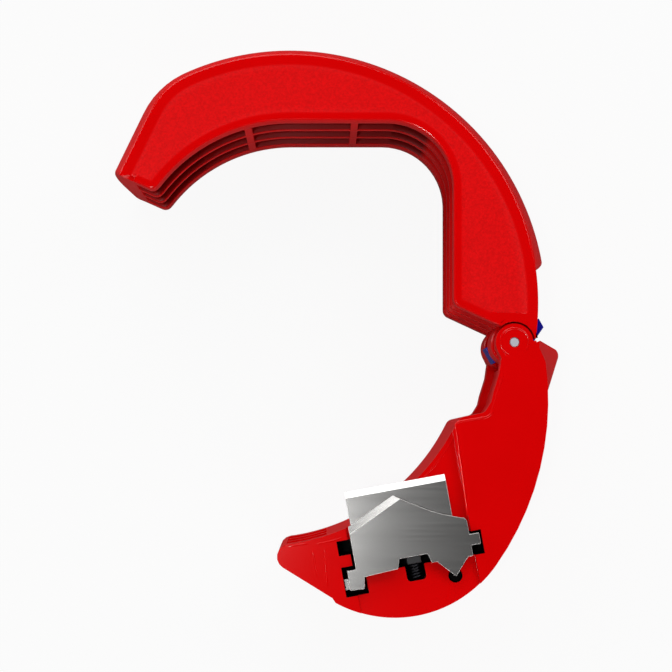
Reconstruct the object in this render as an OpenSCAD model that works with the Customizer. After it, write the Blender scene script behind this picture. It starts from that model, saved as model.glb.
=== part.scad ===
// Compact cutter for plastic waste pipes, laid on its back cheek and standing fully open.
// The hinge axis is vertical here; X runs to the right and Y away, as seen from above the front face.

/* [Overall] */
// Thickness of both arms, from back face to front face
thick = 22; // [16:0.5:30]
// Thickness of the front and back plates of the arms
plate_t = 2.8; // [1.8:0.1:3.6]
// Thickness of the two thin ribs between the plates
rib_t = 1; // [0.6:0.1:1.6]
// Depth of the shallow grooves between plates and ribs
groove_d = 1.2; // [0.6:0.1:2]

/* [Pipe seat] */
// Radius of the round seat, a little more than the largest pipe's
seat_r = 25.5; // [20:0.5:32]
// Distance of the seat's straight wall from the hinge, to the left
wall_lie = 9.4; // [8:0.1:12]
// Distance of the seat's centre from the hinge, away from it
seat_y = 8.9; // [6:0.1:12]
// Radius of the seat's inner corner
seat_corner_r = 10.3; // [6:0.1:14]

/* [Upper arm] */
// Width of the upper arm beside the seat, at mid thickness
arm_w = 15.6; // [13:0.1:20]
// How far the outer circle's centre lies below the seat's centre
arm_drop = 2.8; // [0:0.1:4]
// How far the outer wall bulges between the faces and mid thickness
crown = 2.5; // [1:0.1:3]
// Width of the upper arm at its flat flank
flank_w = 9.35; // [9:0.05:11]
// Slope of the flank
flank_slope = 64; // [58:1:70]
// Radius of the corner between flank and outer circle
flank_corner_r = 13.5; // [5:0.5:16]
// Slope of the tip's end face
tip_slope = 24; // [15:1:32]
// Distance from the seat's centre to the line of the tip's end face
tip_lift = 4.8; // [2:0.1:8]
// Rounding of the tip's inner corner
tip_r = 1.2; // [0.5:0.1:2]
// Slope of the edge that runs from the seat to the hinge
neck_slope = 24.9; // [20:0.5:30]
// Distance of that edge from the hinge axis
neck_lift = 1.4; // [0.8:0.1:2.2]
// Rounding of the corner between the seat's wall and that edge
neck_corner_r = 1.1; // [0.5:0.1:2]
// Wall that closes the deep pockets on the outside
skin_t = 2.4; // [1.6:0.1:3.2]
// Thickness of the cross webs between the deep pockets
web_t = 1.2; // [0.8:0.1:2]
// Angle above the outer circle's centre at which the bulge ends
band_end = 10; // [6:0.5:16]
// Depth of the textured panels in the faces
panel_d = 0.25; // [0.1:0.05:0.5]
// Width of the plain rim beside the seat
rim_inner = 1; // [0.6:0.1:2]
// Width of the plain rim along the outer wall
rim_outer = 1.5; // [0.8:0.1:2.5]
// Height of the panels' lower edge above the hinge axis
panel_low = 4.2; // [3.4:0.1:6]
// Height of the outer wall's end above the hinge axis
wall_end = 0.6; // [0.4:0.1:1.2]

/* [Hinge] */
// Diameter of the hinge pin
pin_d = 1.6; // [1.2:0.1:2.2]
// Radius of the lower arm's ears
ear_r = 2.9; // [2.4:0.1:3.1]
// Radius of the upper arm's knuckles
knuckle_r = 3.3; // [2.8:0.1:3.5]
// Side clearance between ear and knuckle
hinge_gap = 0.3; // [0.2:0.05:0.4]
// Radial clearance of a turning pin
run_fit = 0.05; // [0.02:0.01:0.1]
// Clearance between moving parts that pass each other
pass_gap = 0.3; // [0.2:0.05:0.5]

/* [Lock bar] */
// Width of the lock bar
bar_w = 2.8; // [2:0.1:3.2]
// Slope of the lock bar
bar_slope = 29; // [20:1:35]
// Reach of the bar's inner end from the hinge axis
bar_inner = 3.3; // [2.6:0.1:3.6]
// Reach of the bar's thumb end from the hinge axis
bar_outer = 6.5; // [5.5:0.1:9]
// Chamfer of the thumb end's lower corner
bar_chamfer = 2.4; // [0.5:0.1:3]
// Travel of the lock bar
bar_travel = 1; // [0.6:0.1:1.2]
// Clearance of the bar on each face
bar_gap = 0.1; // [0.05:0.01:0.2]
// Turn of the lower arm from fully open to fully closed
close_angle = 84; // [60:1:84]

/* [Lower arm] */
// Distance from the hinge to the corner at the end of the neck
neck_len = 12; // [10:0.1:14]
// Radius of the lower arm's hollow edge
hollow_r = 34.6; // [30:0.1:40]
// Rounding where the neck meets the hollow edge
hollow_corner_r = 1.5; // [0.5:0.1:2]
// Radius of the belly
belly_r = 19.2; // [18:0.1:22]
// Distance of the belly's centre from the hinge, to the left
belly_x = 18.55; // [17:0.05:20]
// Distance of the belly's centre from the hinge, towards the viewer's side
belly_y = 23.5; // [22:0.1:25]
// Radius of the long arc along the back of the arm
back_r = 44.2; // [40:0.1:80]
// Reach of the heel from the hinge, to the right
heel_reach = 8.3; // [6:0.1:10]
// Rounding of the heel's point
heel_r = 1; // [0.3:0.1:1.5]
// Height of the heel's flat ridge
heel_flat = 3; // [1:0.5:6]
// Rounding of the nose
nose_r = 1.95; // [0.8:0.05:2.5]

/* [Blades] */
// Place of the blade notch from the hinge, to the left
blade_x = 15.7; // [14:0.1:17]
// Place of the blade notch from the hinge, towards the viewer's side
blade_y = 33.1; // [31:0.1:34]
// Tilt of the blades
blade_tilt = 10.3; // [5:0.1:15]
// Width of the pointed blade
blade_w = 18.2; // [16:0.1:19]
// Thickness of the pointed blade
blade_t = 0.9; // [0.5:0.1:1.2]
// Width of its ground bevel
bevel_w = 1; // [0.5:0.1:1.5]
// Width of the straight blade
pipe_blade_w = 15.8; // [13:0.1:17]
// Height of the straight blade's cutting edge above the notch
pipe_blade_top = 11.6; // [10:0.1:13]
// Height of the straight blade from root to edge
pipe_blade_h = 9.6; // [7:0.1:10.5]
// Thickness of the straight blade
pipe_blade_t = 0.6; // [0.4:0.05:0.9]
// Depth of the blade seat below the front face
seat_d = 1; // [0.8:0.05:1.4]
// Gap between the two blades
blade_gap = 0.1; // [0.05:0.01:0.2]
// Clearance beside the blades
side_gap = 0.4; // [0.3:0.05:0.6]
// Travel of the pointed blade against its spring
blade_travel = 0.5; // [0.3:0.05:0.7]
// Depth of the windows behind the blade's tabs
window_d = 6; // [4:0.1:8]
// Top of the upper left window, above the notch
window_top = 4.3; // [3:0.1:5]
// Upper edge of the tongue between the left windows
tongue_top = 2; // [1.5:0.1:2.5]
// Lower edge of that tongue
tongue_low = 0.2; // [0:0.05:0.5]
// Depth of the blade's tabs below its seat
tab_drop = 0.8; // [0.5:0.1:1.5]
// Length of the toe that holds the left tab under the face
toe_len = 0.9; // [0.5:0.1:1.4]
// Thickness of the toe
toe_t = 0.6; // [0.4:0.1:0.8]
// Radius of the relief under the blade's foot
relief_r = 1.1; // [0.8:0.1:1.4]
// Depth of that relief below the seat
relief_d = 1.5; // [0.5:0.1:3]
// Width of the spring slot
slot_w = 3; // [2.4:0.1:3.4]
// Length of the spring slot below the notch
slot_len = 3.9; // [3.4:0.1:4.5]
// Rounding of the slot's end
slot_corner_r = 0.6; // [0.2:0.1:1.2]
// Length of the plunger's head
plunger_len = 1.1; // [0.8:0.1:1.4]
// Length of the plunger's stem
stem_len = 1.4; // [0.8:0.1:1.8]
// Diameter of the dowels that hold the straight blade
dowel_d = 1.6; // [1:0.1:2]
// Length of the dowels
dowel_len = 4.5; // [2.5:0.1:6]

/* [Springs] */
// Outer diameter of the blade spring
blade_spring_d = 2.2; // [1.6:0.1:2.4]
// Wire of the blade spring
blade_spring_wire = 0.34; // [0.2:0.02:0.4]
// Turns of the blade spring
blade_spring_turns = 5; // [3:1:6]
// Outer diameter of the opening spring
open_spring_d = 3.9; // [3.4:0.1:4.2]
// Wire of the opening spring
open_spring_wire = 0.44; // [0.3:0.02:0.5]
// Turns of the opening spring
open_spring_turns = 5; // [3:1:6]
// Outer diameter of the lock spring
lock_spring_d = 1.4; // [1:0.1:1.5]
// Wire of the lock spring
lock_spring_wire = 0.22; // [0.14:0.02:0.26]
// Turns of the lock spring
lock_spring_turns = 5; // [3:1:7]
// Length of the opening spring's standing end
tail_len = 1.5; // [0.8:0.1:2]

/* [Hidden] */
$fn = 72;
over = 1; // overrun of every cut
arc_steps = 28;
red = "#d20a0c";
steel = "#a8a8a8";
pin_chamfer = 0.1 * pin_d;
core_gap_r = max(knuckle_r, norm([bar_inner, bar_w / 2])) + pass_gap;
// Pitch of a coil that lies almost solid, as a share of its wire
pitch_share = 1.12;
open_spring_mean_r = (open_spring_d - open_spring_wire) / 2;
open_spring_pocket_r = open_spring_d / 2 + 2 * run_fit;
open_spring_low = plate_t + run_fit;
open_spring_top = plate_t + hinge_gap + (pitch_share * open_spring_turns + 1) * open_spring_wire;

// Directions and points
function dir(a) = [cos(a), sin(a)];
function angle_of(p) = atan2(p[1], p[0]);
function reversed(list) = [for (i = [len(list) - 1:-1:0]) list[i]];
function arc(c, r, a0, a1, n = arc_steps) = [for (i = [0:n]) c + r * dir(a0 + (a1 - a0) * i / n)];
// An arc from p to q; its centre is on the left of the way from p to q if r is positive
function arc_between(p, q, r, n = arc_steps) =
    let (d = q - p, l = norm(d), side = sign(r), h = sqrt(r * r - l * l / 4),
        c = (p + q) / 2 + side * h * [-d[1], d[0]] / l, sweep = 2 * side * asin(l / 2 / abs(r)))
    arc(c, abs(r), atan2((p - c)[1], (p - c)[0]), atan2((p - c)[1], (p - c)[0]) + sweep, n);
// A rounded corner at b, on the way from a to c
function rounded(a, b, c, r, n = 6) =
    let (u = (a - b) / norm(a - b), v = (c - b) / norm(c - b), half = acos(u * v) / 2,
        left = u[0] * v[1] - u[1] * v[0] < 0, t = r / tan(half))
    arc_between(b + t * u, b + t * v, left ? r : -r, n);
// Where the line through p along angle a meets the line through q along angle b
function meet(p, a, q, b) =
    let (w = q - p, u = dir(a), v = dir(b))
    p + u * (w[0] * v[1] - w[1] * v[0]) / (u[0] * v[1] - u[1] * v[0]);

// Centres and main places of the upper arm
seat_c = [-seat_r - wall_lie, seat_y];
crown_c = seat_c - [0, arm_drop];
crown_r = seat_r + arm_w;
face_r = crown_r - crown;
flank_d = seat_r + flank_w;
bulge_steps = 8;
flank_normal = flank_slope + 90;
gap_h = (thick - 2 * plate_t - 2 * rib_t) / 3;
gap_z = [for (i = [0:2]) plate_t + i * (gap_h + rib_t)];
mid_z = thick / 2;
corner_lie = flank_d - flank_corner_r;
corner_c = crown_c + corner_lie * dir(flank_normal)
    + sqrt(pow(crown_r - flank_corner_r, 2) - pow(corner_lie, 2)) * dir(flank_slope);
corner_a = angle_of(corner_c - crown_c);
tip_a = 270 - tip_slope - acos(-tip_lift / seat_r);
tip_c = seat_c + seat_r * dir(tip_a);
tip_end = meet(tip_c, -tip_slope, crown_c + flank_d * dir(flank_normal), flank_slope);
bar_t = gap_h - 2 * bar_gap;
bar_slot_w = pin_d + 2 * run_fit;
bar_slot_end = pin_d / 2 + 2 * lock_spring_turns * lock_spring_wire + 2 * run_fit;
// Edges of the deep pockets, right of the seat's centre
pocket_edge_shares = [-0.57, -0.255, 0.4, 0.667];

// The model stands with the middle of its outer box at the origin
module at_hinge() {
    top_y = crown_c[1] + crown_r;
    low_y = -belly_y - belly_r;
    translate([-(tip_end[0] + heel_reach) / 2, -(top_y + low_y) / 2, 0]) children();
}

// Outline of the upper arm, with its seat edge moved in by grow and its outer edges by trim
function upper_outline(grow = 0, trim = -over, low = wall_end) =
    let (
        r = seat_r + grow,
        outer = crown_r - trim,
        wall_r = trim > 0 ? outer : face_r,
        end_p = tip_c + max(trim, 0) * dir(90 - tip_slope),
        end_a = 270 - tip_slope - acos(-(tip_lift + max(trim, 0)) / r),
        inner = seat_c + r * dir(end_a),
        flank_p = crown_c + (flank_d - trim) * dir(flank_normal),
        wall_x = seat_c[0] + r,
        top_y = seat_c[1] + r,
        neck_p = (neck_lift + grow) * dir(90 - neck_slope)
    )
    concat(
        rounded(inner + arm_w * dir(180 - tip_slope), inner, inner + r * dir(end_a - 90), tip_r),
        arc(seat_c, r, end_a - 3, 90),
        arc([wall_x, top_y] - seat_corner_r * [1, 1], seat_corner_r, 90, 0, 12),
        rounded([wall_x, top_y], meet([wall_x, 0], 90, neck_p, -neck_slope), neck_p, neck_corner_r),
        [meet([0, low], 0, neck_p, -neck_slope)],
        arc(crown_c, wall_r, asin((low - crown_c[1]) / wall_r), band_end - 1, 6),
        arc(crown_c, outer, band_end + 1, corner_a, 40),
        arc(corner_c, flank_corner_r - trim, corner_a, flank_normal, 8),
        [meet(end_p, -tip_slope, flank_p, flank_slope)]
    );

// Radius r less the bulge, from the back face up to the front face
function bulging(r) = [for (i = [0:bulge_steps]) let (z = thick * i / bulge_steps)
    [r - crown * pow(z / mid_z - 1, 2), z]];

// A barrel whose wall bulges between the faces and mid thickness
module barrel(c, r) {
    translate([c[0], c[1], 0]) rotate_extrude() polygon(concat([[0, thick], [0, 0]], bulging(r)));
}

// The same bulge along the straight flank
module flank_bulge() {
    translate([crown_c[0], crown_c[1], 0]) rotate(flank_normal) translate([0, 2 * crown_r, 0]) rotate([90, 0, 0])
        linear_extrude(4 * crown_r) polygon(concat([[-3 * crown_r, thick], [-3 * crown_r, 0]], bulging(flank_d)));
}

// The round corner between the outer circle and the flank
module corner_sector() {
    linear_extrude(thick) polygon([corner_c, corner_c + 4 * flank_corner_r * dir(corner_a),
        corner_c + 4 * flank_corner_r * dir(flank_normal)]);
}

// Everything inside the bulging outer wall
module crowned_body() {
    difference() {
        intersection() {
            barrel(crown_c, crown_r);
            flank_bulge();
        }
        corner_sector();
    }
    intersection() {
        barrel(corner_c, flank_corner_r);
        corner_sector();
    }
}

// One deep pocket between two webs, as seen from the front
module pocket_outline(i) {
    left = pocket_edge_shares[i] * seat_r + web_t / 2;
    right = pocket_edge_shares[i + 1] * seat_r - web_t / 2;
    intersection() {
        translate([seat_c[0] + left, seat_c[1]]) square([right - left, crown_r]);
        translate(crown_c) circle(face_r - skin_t / 2, $fn = 144);
        translate(crown_c) rotate(flank_normal) translate([-crown_r, -crown_r])
            square([crown_r + flank_d - crown - skin_t, 2 * crown_r]);
    }
}

// One web between two deep pockets, as seen from the front; it reaches the seat's edge
module web_outline(i) {
    intersection() {
        translate([seat_c[0] + pocket_edge_shares[i] * seat_r - web_t / 2, seat_c[1]]) square([web_t, crown_r]);
        polygon(upper_outline());
    }
}

// Groove across the inner part of the tip's end face
module tip_groove() {
    tip_groove_share = 0.35;
    translate(tip_c) rotate(-tip_slope) translate([-tip_groove_share * arm_w, -over])
        square([tip_groove_share * arm_w + over, groove_d / 2 + over]);
}

module at_bar() {
    translate([0, 0, mid_z]) rotate(bar_slope) children();
}

module upper_arm() color(red) at_hinge() difference() {
    union() {
        intersection() {
            union() {
                linear_extrude(thick) polygon(upper_outline(groove_d, -over, wall_end + groove_d));
                for (z = [0, thick - plate_t]) translate([0, 0, z])
                    linear_extrude(plate_t) polygon(upper_outline());
                for (i = [1, 2]) translate([0, 0, gap_z[i] - rib_t])
                    linear_extrude(rib_t) polygon(upper_outline());
                for (i = [1, 2]) linear_extrude(thick) web_outline(i);
            }
            crowned_body();
        }
        translate([0, 0, plate_t + hinge_gap])
            cylinder(r = knuckle_r, h = thick - 2 * (plate_t + hinge_gap));
    }
    for (z = gap_z) translate([0, 0, z]) linear_extrude(gap_h) {
        for (i = [0:2]) pocket_outline(i);
        tip_groove();
    }
    // Room for the lower arm's two ears
    for (z = [-over, thick - plate_t - hinge_gap]) translate([0, 0, z])
        cylinder(r = ear_r + pass_gap, h = plate_t + hinge_gap + over);
    // Pin bore, and the counterbore that holds the opening spring
    translate([0, 0, -over]) cylinder(d = pin_d + 2 * run_fit, h = thick + 2 * over);
    translate([0, 0, plate_t]) cylinder(r = open_spring_pocket_r, h = open_spring_top + run_fit - plate_t);
    translate([0, -open_spring_wire / 2 - run_fit, open_spring_top - open_spring_wire - run_fit])
        cube([knuckle_r + over, open_spring_wire + 2 * run_fit, open_spring_wire + 2 * run_fit]);
    // Channel of the lock bar, right through the knuckle and the outer wall
    at_bar() translate([-2 * knuckle_r, -bar_w / 2 - bar_gap, -gap_h / 2])
        cube([8 * knuckle_r, bar_w + 2 * bar_gap, gap_h]);
    // Textured panels in both faces
    for (z = [-over, thick - panel_d]) translate([0, 0, z]) linear_extrude(panel_d + over)
        polygon(upper_outline(rim_inner, crown + rim_outer, panel_low));
}

// Places of the lower arm's outline, as shares of the neck's length, the belly's radius and the ear's radius
shoulder_angle = 4;
neck_shares = [[-0.195, -0.400], [-0.270, -0.643], [-0.300, -0.772]];
neck_foot_share = [-0.381, -0.905];
neck_corner_share = [-0.711, -0.980];
nose_top_share = [-0.815, -0.400];
nose_tip_share = [-1.140, -0.447];
nose_low_share = [-0.805, -0.654];
belly_step_share = [-0.502, -0.841];
belly_start_share = [-0.477, -0.879];
belly_end_share = [0.814, -0.581];
shoulder_shares = [[1.15, 0.097], [1.66, -1.05]];
belly_c = [-belly_x, -belly_y];
waist = (ear_r + pass_gap) * dir(231);
neck_edge = [for (s = neck_shares) s * neck_len];
neck_foot = neck_foot_share * neck_len;
neck_corner = neck_corner_share * neck_len;
nose_top = belly_c + nose_top_share * belly_r;
nose_tip = belly_c + nose_tip_share * belly_r;
nose_low = belly_c + nose_low_share * belly_r;
hollow = arc_between(neck_corner, nose_top, -hollow_r);
back_end = shoulder_shares[1] * ear_r;
nose_groove_share = 0.275;
nose_angle = angle_of(nose_top - neck_corner) + 157;

function lower_outline() = concat(
    arc([0, 0], ear_r, shoulder_angle, 208),
    [waist],
    neck_edge,
    rounded(neck_edge[2], neck_foot, neck_corner, neck_corner_r),
    rounded(neck_foot, neck_corner, hollow[1], hollow_corner_r),
    [for (i = [1:len(hollow) - 1]) hollow[i]],
    rounded(nose_top, nose_tip, nose_low, nose_r),
    [nose_low, belly_c + belly_step_share * belly_r],
    arc(belly_c, belly_r, angle_of(belly_start_share) + 360, angle_of(belly_end_share) + 360, 40),
    arc_between(belly_c + belly_end_share * belly_r, back_end, back_r, 10),
    [shoulder_shares[0] * ear_r]
);

// Height of the line that passes just under the lock bar
function under_bar(x) = x * tan(bar_slope) - (bar_w / 2 + pass_gap) / cos(bar_slope);

// The heel swells out from both faces to mid thickness, right of the ears
module heel() {
    foot = [1.04 * back_end[0], -1.1 * heel_reach];
    point = [1.04 * heel_reach, -0.112 * heel_reach];
    shelf = [for (share = [0.4, 0.48]) [share * heel_reach, under_bar(share * heel_reach)]];
    intersection() {
        linear_extrude(thick) polygon(concat(
            [[0, foot[1]], foot], rounded(foot, point, shelf[1], heel_r),
            reversed(shelf), [[ear_r / 2, -ear_r]]));
        translate([0, heel_reach, 0]) rotate([90, 0, 0]) linear_extrude(3 * heel_reach) polygon([
            [-heel_reach, 0], [back_end[0] * 0.8, 0], [heel_reach, mid_z - heel_flat / 2],
            [heel_reach, mid_z + heel_flat / 2], [back_end[0] * 0.8, thick], [-heel_reach, thick]]);
    }
}

// Frame of the blades: origin at the notch on the front face, Y towards the pipe
module at_blades() {
    at_hinge() translate([-blade_x, -blade_y, thick]) rotate(blade_tilt) children();
}

// Places of the pointed blade, as shares of its width, clockwise from its left side
left_tab_shares = [[-0.46, -0.198], [-0.577, -0.192], [-0.577, -0.024], [-0.5, -0.024]];
right_tab_shares = [[0.5, 0.099], [0.583, 0.099], [0.583, 0.005], [0.5, 0.005]];
flank_shares = [[-0.5, 0.341], [-0.077, 0.537]];
back_shares = [[0.02, 0.472], [0.107, 0.418], [0.21, 0.355], [0.3, 0.31], [0.399, 0.272],
    [0.448, 0.254], [0.482, 0.244], [0.5, 0.22]];
foot_shares = [[0.5, -0.085], [0.457, -0.087], [0.327, -0.231], [0.192, -0.082], [0.146, -0.082]];
notch_shares = [[0.121, 0], [-0.121, 0], [-0.146, -0.082], [-0.437, -0.099]];
dowel_shares = [[-0.25, 0.24], [0.2, 0.2]];
tab_overlap_share = 0.015;
tab_overlap = tab_overlap_share * blade_w;
blade_edge = blade_w * concat(flank_shares, back_shares, right_tab_shares, foot_shares, notch_shares,
    left_tab_shares);
left_tab = blade_w * left_tab_shares;
right_tab = blade_w * right_tab_shares;
blade_half = blade_w / 2 + side_gap;
window_left = left_tab[1][0] - 2 * side_gap;
window_right = right_tab[1][0] + side_gap;
window_low = left_tab[0][1] - blade_travel - side_gap;
floor_z = -seat_d;
blade_z = floor_z + pipe_blade_t + blade_gap;
tab_z = floor_z - tab_drop;
spring_z = floor_z - blade_spring_d / 2 + blade_gap;
plunger_back = -plunger_len - run_fit;
land = 0.1 * blade_t;

// The sunk seat of the blades, which runs out to the face towards the belly
module blade_seat() {
    ramp_share = 0.555;
    translate([-blade_half, 0, 0]) rotate([90, 0, 90]) linear_extrude(2 * blade_half) polygon([
        [-ramp_share * belly_r, over], [-ramp_share * belly_r, -land], [foot_shares[1][1] * blade_w, floor_z],
        [2 * blade_w, floor_z], [2 * blade_w, over]]);
}

// Windows of the tabs on both sides and the slot of the blade spring
module window_outline() {
    beside_left = left_tab[0][0] + tab_overlap + side_gap;
    beside_right = right_tab[0][0] - tab_overlap - side_gap;
    translate([window_left, tongue_top]) square([beside_left - window_left, window_top - tongue_top]);
    translate([window_left, window_low]) square([beside_left - window_left, tongue_low - window_low]);
    translate([-blade_half, window_low]) square([beside_left + blade_half, window_top - window_low]);
    translate([beside_right, foot_shares[0][1] * blade_w])
        square([window_right - beside_right, right_tab[0][1] + side_gap - foot_shares[0][1] * blade_w]);
    translate([notch_shares[2][0] * blade_w, notch_shares[2][1] * blade_w])
        square([-2 * notch_shares[2][0] * blade_w, side_gap - notch_shares[2][1] * blade_w]);
    translate([-slot_w / 2, slot_corner_r - slot_len]) square([slot_w, slot_len - slot_corner_r]);
    translate([slot_corner_r - slot_w / 2, -slot_len]) square([slot_w - 2 * slot_corner_r, slot_len]);
    for (x = [-1, 1]) translate([x * (slot_w / 2 - slot_corner_r), slot_corner_r - slot_len])
        circle(slot_corner_r);
}

module lower_arm() color(red) {
    difference() {
        at_hinge() difference() {
            union() {
                linear_extrude(thick) polygon(lower_outline());
                heel();
            }
            // Room for the knuckles and the lock bar, and the notch that takes the bar when closed
            translate([0, 0, plate_t]) cylinder(r = core_gap_r, h = thick - 2 * plate_t);
            translate([0, 0, mid_z]) rotate(bar_slope + 180 + close_angle)
                translate([0, -bar_w / 2 - bar_gap, -gap_h / 2])
                    cube([bar_inner + bar_travel + pass_gap, bar_w + 2 * bar_gap, gap_h]);
            // Groove along the neck between the two cheeks
            translate([0, 0, plate_t]) linear_extrude(thick - 2 * plate_t) polygon(concat(
                [for (p = concat([waist], neck_edge, [neck_foot])) p - [over, 0]],
                [for (p = reversed(concat([waist], neck_edge, [neck_foot]))) p + [groove_d, 0]]));
            // Grooves in the nose, in line with those of the upper arm
            for (z = gap_z) translate([nose_top[0], nose_top[1], z]) rotate(nose_angle)
                translate([-groove_d, -groove_d, 0]) cube([nose_groove_share * belly_r + groove_d, 2 * groove_d, gap_h]);
            // Bore of the pin, and the hole for the opening spring's end
            translate([0, 0, -over]) cylinder(d = pin_d, h = thick + 2 * over);
            translate([open_spring_mean_r, 0, plate_t - tail_len - run_fit])
                cylinder(d = open_spring_wire + 2 * run_fit, h = tail_len + over, $fn = 24);
        }
        at_blades() {
            blade_seat();
            translate([0, 0, -window_d]) linear_extrude(window_d + over) window_outline();
            // Relief under the pointed foot
            translate([foot_shares[2][0] * blade_w, foot_shares[2][1] * blade_w, floor_z - relief_d])
                cylinder(r = relief_r, h = seat_d + relief_d + over);
            // Undercut for the toe of the left tab
            translate([window_left - toe_len, window_low, tab_z - side_gap])
                cube([toe_len + over, tongue_low - window_low, toe_t + 2 * side_gap]);
            for (share = dowel_shares) translate([share[0] * blade_w, share[1] * blade_w, floor_z - dowel_len])
                cylinder(d = dowel_d, h = dowel_len + over);
        }
    }
}

// Hinge pin, pressed into the ears, with a small chamfer at each end
module hinge_pin() color(steel) at_hinge() rotate_extrude() polygon([
    [0, 0], [pin_d / 2 - pin_chamfer, 0], [pin_d / 2, pin_chamfer], [pin_d / 2, thick - pin_chamfer],
    [pin_d / 2 - pin_chamfer, thick], [0, thick]]);

// Path of a coil about Z that starts and ends on the X axis
function coil_path(mean_r, turns, low, high, steps) = [for (i = [0:turns * steps])
    [mean_r * cos(360 * i / steps), mean_r * sin(360 * i / steps), low + (high - low) * i / turns / steps]];
// The part of v that lies square to the direction t, made one unit long
function square_to(v, t) = (v - (v * t) * t) / norm(v - (v * t) * t);

// A round wire along a path
module wire(path, d, sides = 8) {
    last = len(path) - 1;
    ways = [for (i = [0:last]) path[min(i + 1, last)] - path[max(i - 1, 0)]];
    units = [for (w = ways) w / norm(w)];
    normals = [for (i = 0, v = square_to([3, 1, 2], units[0]); i <= last;
        v = square_to(v, units[min(i + 1, last)]), i = i + 1) v];
    points = [for (i = [0:last], j = [0:sides - 1]) let (a = 360 * j / sides)
        path[i] + d / 2 * (cos(a) * normals[i] + sin(a) * cross(normals[i], units[i]))];
    polyhedron(points, concat(
        [[for (j = [0:sides - 1]) j]],
        [for (i = [0:last - 1], j = [0:sides - 1]) [i * sides + j, (i + 1) * sides + j,
            (i + 1) * sides + (j + 1) % sides, i * sides + (j + 1) % sides]],
        [[for (j = [sides - 1:-1:0]) last * sides + j]]));
}

// Torsion spring round the pin: one end stands in the ear, the other lies in a slot of the knuckle
module opening_spring() color(steel) at_hinge() wire(concat(
    [[open_spring_mean_r, 0, plate_t - tail_len]],
    coil_path(open_spring_mean_r, open_spring_turns, open_spring_low + open_spring_wire / 2,
        open_spring_top - open_spring_wire / 2, 20),
    [[knuckle_r, 0, open_spring_top - open_spring_wire / 2]]), open_spring_wire);

// Sliding lock: a flat bar with a slot round the pin and a thumb end outside the upper arm
module lock_bar() color("#00008b") at_hinge() at_bar() translate([0, 0, -bar_t / 2]) linear_extrude(bar_t)
    difference() {
        polygon([[-bar_inner, -bar_w / 2], [bar_outer - bar_chamfer, -bar_w / 2],
            [bar_outer, bar_chamfer / 2 - bar_w / 2], [bar_outer, bar_w / 2], [-bar_inner, bar_w / 2]]);
        circle(bar_slot_w / 2);
        translate([0, -bar_slot_w / 2]) square([bar_slot_end, bar_slot_w]);
    }

module lock_spring() color(steel) at_hinge() at_bar() translate([pin_d / 2 + run_fit, 0, 0])
    rotate([0, 90, 0]) wire(coil_path((lock_spring_d - lock_spring_wire) / 2, lock_spring_turns,
        lock_spring_wire / 2, bar_slot_end - pin_d / 2 - 2 * run_fit - lock_spring_wire / 2, 16),
        lock_spring_wire, 6);

// Straight blade, flat in the seat, ground on its front side
module pipe_blade() color(steel) at_blades() difference() {
    translate([-blade_half + 2 * side_gap, 0, floor_z]) rotate([90, 0, 90]) linear_extrude(pipe_blade_w)
        polygon([[pipe_blade_top - pipe_blade_h, 0], [pipe_blade_top, 0], [pipe_blade_top, land],
            [pipe_blade_top - bevel_w, pipe_blade_t], [pipe_blade_top - pipe_blade_h, pipe_blade_t]]);
    for (share = dowel_shares) translate([share[0] * blade_w, share[1] * blade_w, floor_z - over])
        cylinder(d = dowel_d + 2 * run_fit, h = pipe_blade_t + 2 * over);
}

module blade_dowels() color(steel) at_blades() for (share = dowel_shares)
    translate([share[0] * blade_w, share[1] * blade_w, floor_z - dowel_len])
        cylinder(d = dowel_d, h = dowel_len + pipe_blade_t);

// Pointed blade: a flat plate with two tabs that reach down into the windows
module sleeve_blade() color(steel) at_blades() difference() {
    flank = blade_w * (flank_shares[1] - flank_shares[0]);
    union() {
        translate([0, 0, blade_z]) linear_extrude(blade_t) polygon(blade_edge);
        for (tab = [concat(left_tab, [left_tab[0] + [tab_overlap, blade_travel]]),
            [right_tab[0] - [tab_overlap, 0], right_tab[1], right_tab[2], right_tab[3] - [tab_overlap, 0]]])
            translate([0, 0, tab_z]) linear_extrude(blade_z + blade_t / 2 - tab_z) polygon(tab);
        translate([window_left - toe_len / 2, left_tab[1][1], tab_z])
            cube([left_tab[1][0] - window_left + toe_len, -blade_w * (left_tab_shares[1][1] + 0.1), toe_t]);
    }
    // Wide bevel along the left flank
    translate([blade_edge[0][0], blade_edge[0][1], blade_z + land]) rotate(angle_of(flank))
        rotate([-atan((blade_t - land) / bevel_w), 0, 0])
            translate([-blade_w / 2, -2 * bevel_w, 0]) cube([1.5 * blade_w, 4 * bevel_w, 3 * blade_t]);
}

// Plunger between the blade spring and the notch; its stem guides the spring
module spring_plunger() color("#202020") at_blades() union() {
    translate([-blade_spring_d / 2, plunger_back, spring_z - blade_spring_d / 2])
        cube([blade_spring_d, plunger_len, blade_z + blade_t / 2 - spring_z + blade_spring_d / 2]);
    translate([0, plunger_back + plunger_len / 2, spring_z]) rotate([90, 0, 0])
        cylinder(r = blade_spring_d / 2 - blade_spring_wire - 2 * run_fit, h = plunger_len / 2 + stem_len);
}

module blade_spring() color(steel) at_blades() translate([0, plunger_back - run_fit, spring_z])
    rotate([90, 0, 0]) wire(coil_path((blade_spring_d - blade_spring_wire) / 2, blade_spring_turns,
        blade_spring_wire / 2, slot_len + plunger_back - 2 * run_fit - blade_spring_wire / 2, 20),
        blade_spring_wire);

upper_arm();
lower_arm();
hinge_pin();
opening_spring();
lock_bar();
lock_spring();
pipe_blade();
blade_dowels();
sleeve_blade();
spring_plunger();
blade_spring();
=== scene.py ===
"""Compact cutter for plastic waste pipe, fully open and lying on its back cheek."""
import bisect
import logging
import math
from dataclasses import dataclass, field
from enum import Enum
from typing import Callable, Optional, Sequence

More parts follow.
